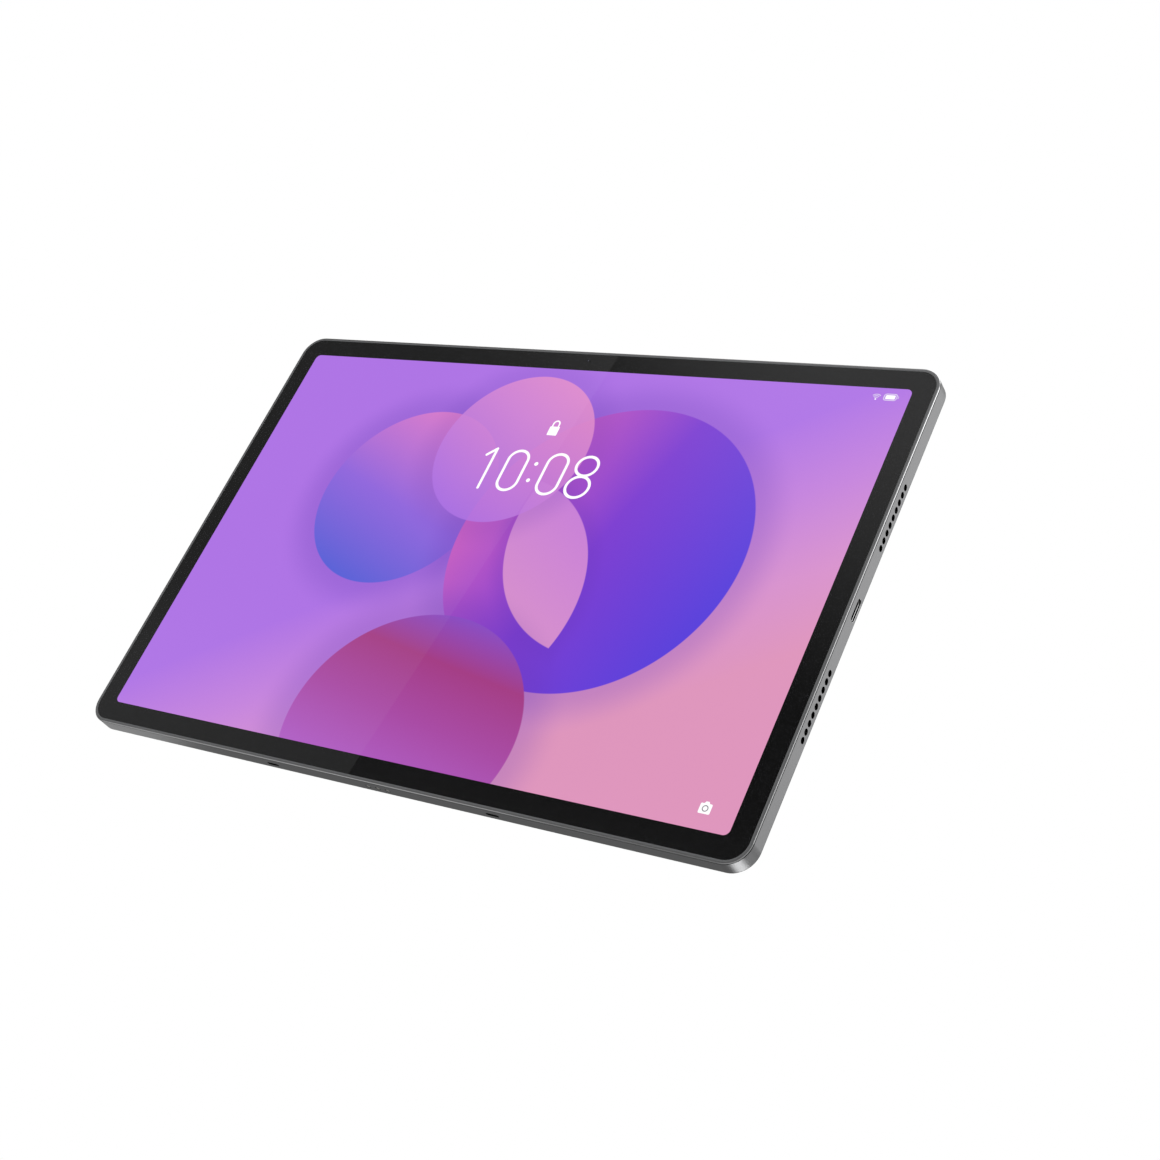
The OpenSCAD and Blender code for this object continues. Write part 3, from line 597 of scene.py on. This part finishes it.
def make_screen():
    """The lit picture, the black border printed round it, and the front camera's lens."""
    print_y = box_mm("cover_glass")[0].y + GLASS_BEVEL  # Further back, the gap round it would show
    thick = 0.03
    middle = middle_mm("cover_glass")[2]
    half_w, half_h = PICTURE_WIDTH / 2, PICTURE_HEIGHT / 2
    picture = rounded(-half_w, half_w, middle - half_h, middle + half_h, 2.2)
    drawing = Drawing()
    drawing.fill(picture)
    drawing.plate("screen_picture", print_y, print_y + thick, wallpaper(), "lcd_panel")

    # The border reaches almost to the glass's edge, whose corners have a radius of 7.3 mm
    outer = outline_round("cover_glass", -0.02, 7.28)
    drawing = Drawing()
    drawing.band(outer, picture)
    ink, _, shader = new_material("black_print")
    shader.inputs["Base Color"].default_value = (0.004, 0.004, 0.0044, 1)
    glassy(shader)
    drawing.plate("border_print", print_y, print_y + thick, ink, "cover_glass")

    # The front camera's lens, seen through the print
    lens, tree, shader = new_material("front_lens")
    x, _, z = place_mm(tree)
    away = distance(x - FRONT_CAMERA_X, z - FRONT_CAMERA_Z)
    link(away.colours((0.0, (0.07, 0.07, 0.08)), (0.35, (0.03, 0.03, 0.04)),
                      (0.7, (0.004, 0.004, 0.006)), (0.95, (0.012, 0.012, 0.014))),
         shader.inputs["Base Color"])
    shader.inputs["Roughness"].default_value = 0.2
    drawing = Drawing()
    drawing.fill(oval(FRONT_CAMERA_X, FRONT_CAMERA_Z, 1.05, 1.05))
    drawing.plate("front_camera_spot", print_y - 0.03, print_y - 0.01, lens,
                  "front_camera_lens")


def make_clock():
    """Clock digits and status signs, drawn with strokes just in front of the picture."""
    y, thick = box_mm("cover_glass")[0].y + 0.08, 0.02
    white = lit("lit_white", (1.0, 0.99, 1.0), PICTURE_GLOW)
    digits, pen = Drawing(), 1.15
    digits.stroke([(-23.9, 137.9), (-20.3, 141.0)], pen)
    digits.stroke([(-20.3, 141.0), (-20.3, 122.9)], pen)
    for middle in (-8.5, 9.7):
        top = arc(middle, 136.8, 4.45, 4.2, 0, 180, 24)
        bottom = arc(middle, 127.2, 4.45, 4.2, 180, 360, 24)
        digits.stroke(top + bottom, pen, closed=True)
    for height in (128.3, 135.8):
        digits.fill(oval(0.45, height, 0.85, 0.85, 24))
    digits.stroke(oval(23.0, 136.8, 4.6, 4.25), pen, closed=True)
    digits.stroke(oval(23.0, 127.5, 5.0, 4.65), pen, closed=True)
    digits.plate("clock_digits", y, y + thick, white, "lcd_panel")

    signs, faint = Drawing(), Drawing()
    # Padlock
    signs.fill(rounded(-1.7, 2.7, 149.1, 153.15, 0.35, 4))
    bow = arc(0.5, 154.3, 1.35, 1.45, 180, 0, 16)
    signs.stroke([(-0.85, 153.0)] + bow + [(1.85, 153.0)], 0.66)
    # Battery: a filled core, whose outline is fainter
    signs.fill(rounded(127.75, 131.35, 175.4, 177.1, 0.35, 4))
    # Radio sign: faint arcs over a dot
    for radius in (0.75, 1.4, 2.05):
        faint.stroke(arc(124.3, 175.2, radius, radius, 48, 132, 12), 0.3)
    signs.fill(oval(124.3, 175.15, 0.3, 0.3, 16))
    # Camera sign
    signs.fill(rounded(123.5, 127.7, 14.5, 18.0, 0.4, 4))
    signs.fill([(124.6, 17.9), (126.7, 17.9), (126.2, 18.7), (125.1, 18.7)])
    signs.plate("screen_signs", y, y + thick, white, "lcd_panel")

    # The battery's outline and cap
    faint.stroke(rounded(127.2, 131.9, 174.95, 177.55, 0.85, 5), 0.36, closed=True)
    faint.stroke(arc(132.35, 176.25, 0.2, 0.45, -90, 90, 8), 0.22)
    faint.plate("faint_signs", y, y + thick, lit("lit_lilac", (0.72, 0.62, 0.86)),
                "lcd_panel")
    # The ring in the camera sign lies in front of it
    ring = Drawing()
    ring.stroke(oval(125.6, 16.3, 0.95, 0.95, 32), 0.36, closed=True)
    ring.plate("camera_sign_ring", y - 0.03, y - 0.01, lit("lit_grey", (0.28, 0.27, 0.3)),
               "lcd_panel")


# ---- Edge --------------------------------------------------------------------------------


def make_port_lips():
    """Two bright sloping lips: at the opening in the housing and at the shell's mouth."""
    _, middle_y, middle_z = middle_mm("usb_c_shell")
    steel = grained("lip_steel", (0.8, 0.805, 0.81), 0.2, metal=1.0, grain_mm=0.2, vary=0.03,
                    depth_mm=0.0005)

    def lip(name, length, front, size):
        """A ring that slopes in from the edge of an oblong opening, whose ends are round."""

        def oblong(inset, x):
            end, reach = PORT_WIDTH / 2 - inset, (length - PORT_WIDTH) / 2
            ends = arc(0, reach, end, end, 0, 180, 24) + arc(0, -reach, end, end, 180, 360, 24)
            return [(x * MM, (middle_y + y) * MM, (middle_z + z) * MM) for y, z in ends]

        rings = [oblong(0, front), oblong(size, front - size), oblong(0, front - size)]
        count = len(rings[0])
        faces = []
        for a in range(3):
            b = (a + 1) % 3
            for k in range(count):
                n = (k + 1) % count
                faces.append((a * count + k, a * count + n, b * count + n, b * count + k))
        mesh = bpy.data.meshes.new(name)
        mesh.from_pydata([point for ring in rings for point in ring], [], faces)
        close_mesh(mesh)
        finish_piece(name, mesh, steel, "tablet")

    shell_x, wall_x = (box_mm(node)[1].x for node in ("usb_c_shell", "rear_housing"))
    lip("usb_c_lead_in", SHELL_MOUTH_LENGTH, shell_x - 0.02, 0.13)
    lip("usb_c_opening_edge", PORT_LENGTH, wall_x - 0.005, 0.1)


# ---- Back --------------------------------------------------------------------------------


def cross_outline(outline, offset):
    """Where the line z - x = offset crosses a closed outline, as sorted places along it."""
    found = []
    for (x0, z0), (x1, z1) in zip(outline, outline[1:] + outline[:1]):
        side0, side1 = z0 - x0 - offset, z1 - x1 - offset
        if (side0 < 0) != (side1 < 0):
            share = side0 / (side0 - side1)
            found.append(x0 + (x1 - x0) * share + z0 + (z1 - z0) * share)
    return sorted(found)


def make_hatching():
    """Fine slanted lines, etched across the top of the back, round the island and the inlay."""
    back = box_mm("rear_housing")[1].y
    half, bottom, top = 144.1, 145.4, 187.2
    outlines = [rounded(-half, half, bottom, top, 4.6),
                outline_round("camera_island", -0.3, 5.2),
                outline_round("inlay_strip", 0.6, 0.9)]
    pitch, width, shortest = 1.564, 0.68, 0.6
    drawing = Drawing()
    for k in range(math.ceil((half + top) / pitch)):
        offset = k * pitch
        # Where the line's lower edge, middle and upper edge enter and leave the band
        lower, centre, upper = (
            sorted(p for outline in outlines for p in cross_outline(outline, side))
            for side in (offset - width / 2, offset, offset + width / 2))
        if not len(lower) == len(centre) == len(upper):
            lower = upper = centre
        for i in range(0, len(lower) - 1, 2):
            if min(lower[i + 1] - lower[i], upper[i + 1] - upper[i]) < shortest:
                continue
            corners = [(lower[i], offset - width / 2), (lower[i + 1], offset - width / 2),
                       (upper[i + 1], offset + width / 2), (upper[i], offset + width / 2)]
            drawing.fill([((s - d) / 2, (s + d) / 2) for s, d in corners])
    lines = grained("etched_line", (0.13, 0.132, 0.137), 0.42, metal=1.0, grain_mm=0.2, vary=0.06,
                    depth_mm=0.001)
    drawing.plate("back_lines", back + 0.001, back + 0.006, lines, "rear_housing")


def dome(radius, base, rise, under, step):
    """Profile of a dome on a short drum, with a point every step degrees."""
    curve = [(radius * math.sin(math.radians(a)), base + rise * math.cos(math.radians(a)))
             for a in range(0, 91, step)]
    return [(0.0, base - under)] + curve + [(radius, base - under)]


def make_lens():
    """What shows through the rear camera's window, and the flash's small lamp."""
    x, _, z = middle_mm("camera_lens_ring")
    barrel_y = box_mm("camera_lens_barrel")[1].y
    black = grained("lens_mask", (0.012, 0.012, 0.014), 0.3, grain_mm=0.4)
    line = grained("lens_line", (0.2, 0.2, 0.205), 0.3, metal=0.6, grain_mm=0.3)
    top = box_mm("camera_window")[0].y - 0.02
    bottom, groove = top - 0.1, top - 0.06
    lathe("lens_mask", [(5.3, bottom), (5.3, top), (4.4, top), (4.3, groove), (3.6, groove),
                        (3.5, top), (3.15, top), (3.15, bottom)], x, z, black)
    for name, inner, outer, height in (("lens_outer_line", 4.75, 5.0, 0.012),
                                       ("lens_inner_line", 2.5, 2.75, -0.06)):
        lathe(name, [(inner, bottom), (inner, top + height), (outer, top + height),
                     (outer, bottom)], x, z, line)
    lathe("lens_front_element", dome(2.3, barrel_y - 0.37, 0.3, 0.05, 10), x, z,
          coated_glass(x, z), body="focus_barrel")

    x, _, z = middle_mm("flash_lens")
    lamp, tree, shader = new_material("flash_phosphor")
    place_x, _, place_z = place_mm(tree)
    away = distance(place_x - x, place_z - z)
    link(away.colours((0.0, (0.95, 0.9, 0.55)), (1.0, (0.85, 0.85, 0.8))),
         shader.inputs["Base Color"])
    shader.inputs["Roughness"].default_value = 0.25
    shader.inputs["Coat Weight"].default_value = 1.0
    lens_y = box_mm("flash_lens")[1].y
    lathe("flash_lamp", dome(1.5, lens_y, 0.04, 0.02, 15), x, z, lamp)


def coated_glass(centre_x, centre_z):
    """Dark coated glass: violet in the middle, green-blue at the rim."""
    material, tree, shader = new_material("lens_coating")
    x, _, z = place_mm(tree)
    away = distance(x - centre_x, z - centre_z) * 0.4
    link(away.colours((0.0, (0.02, 0.012, 0.05)), (0.5, (0.01, 0.02, 0.05)),
                      (1.0, (0.01, 0.03, 0.035))), shader.inputs["Base Color"])
    shader.inputs["Roughness"].default_value = 0.04
    shader.inputs["Coat Weight"].default_value = 1.0
    return material


# ---- Materials of the CAD nodes ----------------------------------------------------------


def paint_nodes():
    """Gives every CAD node its material."""
    body_grey = (0.33, 0.331, 0.336)
    cut_bright = (0.72, 0.722, 0.73)
    metal = anodised("anodised_body", body_grey, cut_bright)
    rim = anodised("anodised_rim", body_grey, cut_bright, 0.3)
    steel = grained("sheet_steel", (0.6, 0.61, 0.62), 0.3, metal=1.0, grain_mm=0.6)
    board = grained("circuit_board", (0.03, 0.16, 0.07), 0.35, grain_mm=0.8, vary=0.2, coat=0.5)
    film = grained("amber_film", (0.45, 0.22, 0.04), 0.3, grain_mm=1.2, vary=0.12, coat=0.6)
    black = grained("black_moulding", (0.025, 0.025, 0.027), 0.5, grain_mm=0.15)
    dark = grained("grey_moulding", (0.2, 0.202, 0.207), 0.45, grain_mm=0.12, depth_mm=0.001)
    wrap = grained("cell_wrap", (0.05, 0.05, 0.054), 0.38, grain_mm=2.5, vary=0.15, depth_mm=0.02)
    looks = {
        metal: ["rear_housing", "power_button", "volume_rocker", "card_tray"],
        rim: ["display_bezel_ring"],
        anodised("island_metal", (0.34, 0.341, 0.347), cut_bright, 0.24): ["camera_island"],
        grained("turned_metal", (0.55, 0.555, 0.565), 0.2, metal=1.0, grain_mm=0.1, vary=0.05,
                depth_mm=0.001): ["camera_lens_ring"],
        grained("bright_metal", (0.85, 0.855, 0.86), 0.15, metal=1.0, grain_mm=0.2, vary=0.03,
                depth_mm=0.0005): ["inlay_strip"],
        # Steel darkened to near black: painted shade for the unlit inside of the USB-C port
        grained("painted_shade_steel", (0.06, 0.06, 0.062), 0.35, metal=1.0, grain_mm=0.2):
            ["usb_c_shell"],
        grained("white_ring", (0.85, 0.85, 0.86), 0.3, grain_mm=0.2, vary=0.03, depth_mm=0.0005):
            ["flash_ring"],
        grained("flash_diffuser", (0.42, 0.42, 0.435), 0.3, metal=0.5, grain_mm=0.3, vary=0.04,
                depth_mm=0.001, coat=0.6): ["flash_lens"],
        # Its reflections come from the print and the picture just behind its front face
        clear_glass("cover_glass", (1.0, 1.0, 1.0), index=1.0): ["cover_glass"],
        clear_glass("window_glass", (0.9, 0.92, 0.95)): ["camera_window"],
        clear_glass("clear_resin", (0.97, 0.98, 1.0)): ["optical_adhesive"],
        dark: ["glass_gasket", "wifi_antennas"],
        black: ["display_adhesive", "camera_lens_barrel", "front_camera_module", "light_sensor",
                "dock_contact_carrier", "usb_c_tongue", "speaker_upper_left", "speaker_lower_left",
                "speaker_upper_right", "speaker_lower_right"],
        grained("panel_glass", (0.2, 0.12, 0.4), 0.2, grain_mm=0.3): ["lcd_panel"],
        grained("white_film", (0.85, 0.85, 0.83), 0.5, grain_mm=2.0, vary=0.03): ["backlight_unit"],
        steel: ["display_back_plate", "key_domes", "key_brackets", "card_socket", "eject_rod",
                "eject_lever", "dock_magnets", "microphones", "board_shields",
                "camera_can", "board_screws"],
        board: ["display_driver_board", "camera_sensor_board", "card_board", "usb_board",
                "main_board", "battery_board"],
        film: ["display_flex", "key_flex", "dock_flex", "main_flex"],
        grained("phosphor_board", (0.85, 0.8, 0.4), 0.5, grain_mm=0.4): ["flash_led"],
        grained("red_silicone", (0.35, 0.02, 0.015), 0.5, grain_mm=0.3): ["tray_gasket"],
        grained("contact_plate", (0.68, 0.66, 0.62), 0.25, metal=1.0, grain_mm=0.3, vary=0.05):
            ["dock_contacts"],
        grained("dust_mesh", (0.012, 0.012, 0.013), 0.8, grain_mm=0.12, vary=0.4, depth_mm=0.05):
            ["speaker_dust_mesh"],
        grained("coated_lens", (0.01, 0.012, 0.03), 0.06, grain_mm=2.0, vary=0.2, rough_vary=0.02,
                depth_mm=0.0001, coat=1.0): ["front_camera_lens"],
        grained("graphite_film", (0.08, 0.08, 0.083), 0.4, metal=0.3, grain_mm=1.0):
            ["heat_spreader"],
        wrap: ["battery_cell_left", "battery_cell_right"],
        grained("white_tape", (0.8, 0.8, 0.77), 0.6, grain_mm=1.0, vary=0.04): ["battery_tape"],
        grained("lead_sheath", (0.02, 0.02, 0.021), 0.45, grain_mm=0.5): ["antenna_cables"],
    }
    left = set(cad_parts)
    for material, nodes in looks.items():
        for name in nodes:
            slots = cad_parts[name].data.materials
            if not slots:
                slots.append(material)
            for k in range(len(slots)):
                slots[k] = material
            left.remove(name)
    if left:
        raise ValueError(f"these nodes have no material: {sorted(left)}")


make_camera()
make_world()
make_lights()
make_floor()
paint_nodes()
make_screen()
make_clock()
make_port_lips()
make_hatching()
make_lens()

scene.view_settings.view_transform = "Standard"
bpy.context.view_layer.update()
